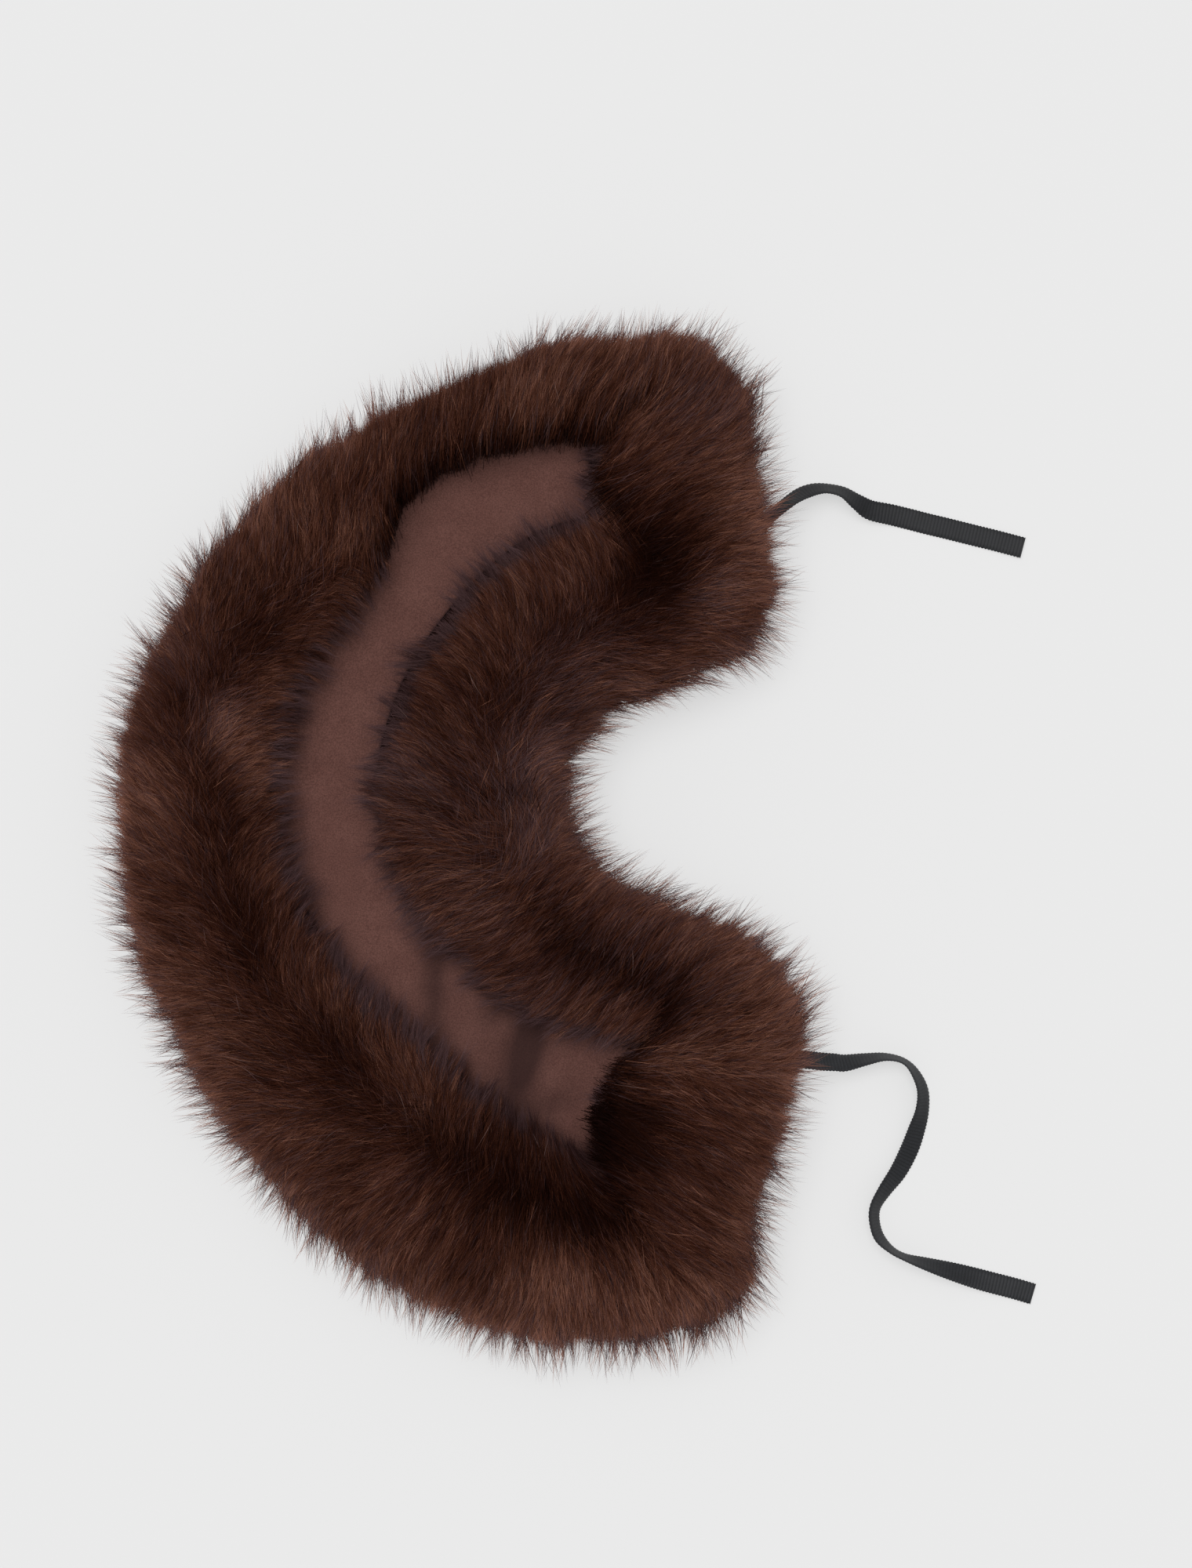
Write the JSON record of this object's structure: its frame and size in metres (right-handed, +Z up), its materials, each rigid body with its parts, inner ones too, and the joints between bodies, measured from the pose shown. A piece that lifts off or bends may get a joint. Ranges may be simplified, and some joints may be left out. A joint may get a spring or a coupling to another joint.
{
  "type": "fur collar wrap",
  "caption": "Deep-pile fur collar cut as an open C, laid flat with its lining up and its fur turned over all its edges, with a ribbon tie at each end that closes it round the neck.",
  "frame": {"origin": "on the surface the collar rests on, under the middle of the box round the collar without its ties", "axes": "+X towards the side where the neck opens and the ties leave, +Y along the collar's longest extent towards its upper end, +Z up, from the fur that lies down to the lining"},
  "size_m": [0.4333, 0.4896, 0.0528],
  "materials": {
    "fur": "deep pile of fine chocolate and rust brown hair with a soft grey-brown sheen on its tips",
    "fur_underside": "the same deep pile, pressed flat where the collar rests",
    "suedette_lining": "matt mauve-brown suedette with a very fine nap",
    "petersham_ribbon": "charcoal petersham ribbon with fine cross ribs and scalloped edges"
  },
  "bodies": {
    "root": {"fur_outer_panel": "fur_underside", "fur_turnover_outer": "fur", "fur_turnover_neck": "fur", "fur_turnover_end_upper": "fur", "fur_turnover_end_lower": "fur", "lining": "suedette_lining", "tie_upper": "petersham_ribbon", "tie_lower": "petersham_ribbon"}
  },
  "joints": []
}
